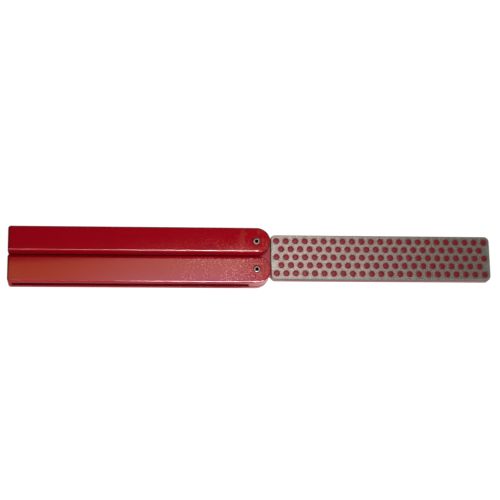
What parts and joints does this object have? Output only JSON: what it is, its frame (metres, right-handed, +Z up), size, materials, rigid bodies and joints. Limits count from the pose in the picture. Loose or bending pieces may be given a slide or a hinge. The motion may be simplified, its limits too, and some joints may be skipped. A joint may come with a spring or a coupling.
{
  "type": "folding diamond hone",
  "caption": "Folding ski-edge hone: a perforated diamond plate on a plastic blade, with two channel handles that swing on hollow pins and fold over it.",
  "frame": {"origin": "under the middle of the tool's length and width when it is open, on the plane of the handles' undersides", "axes": "+X along the tool from the handles' far ends to the tip of the hone, +Y across the two handles towards the upper handle, +Z up, the way the abrasive face looks"},
  "size_m": [0.24, 0.0282, 0.0127],
  "materials": {
    "handle_plastic": "glossy dark red moulding, scuffed towards the pivots",
    "body_plastic": "dark red moulding, lightly worn by use",
    "diamond_nickel": "nickel-bonded diamond grit, fine grained and warm grey, with a smooth rolled rim",
    "pin_steel": "bright drawn steel tube"
  },
  "bodies": {
    "hone": {"hone_body": "body_plastic", "diamond_plate": "diamond_nickel"},
    "upper_grip": {"upper_handle": "handle_plastic", "upper_pivot_pin": "pin_steel"},
    "lower_grip": {"lower_handle": "handle_plastic", "lower_pivot_pin": "pin_steel"}
  },
  "joints": [
    {"name": "upper_fold", "type": "hinge", "parent": "hone", "child": "upper_grip", "pos_m": [0.002, 0.0071, 0], "axis": [0, 0, -1], "range_deg": [0, 180]},
    {"name": "lower_fold", "type": "hinge", "parent": "hone", "child": "lower_grip", "pos_m": [0.002, -0.0071, 0], "axis": [0, 0, 1], "range_deg": [0, 180]}
  ]
}
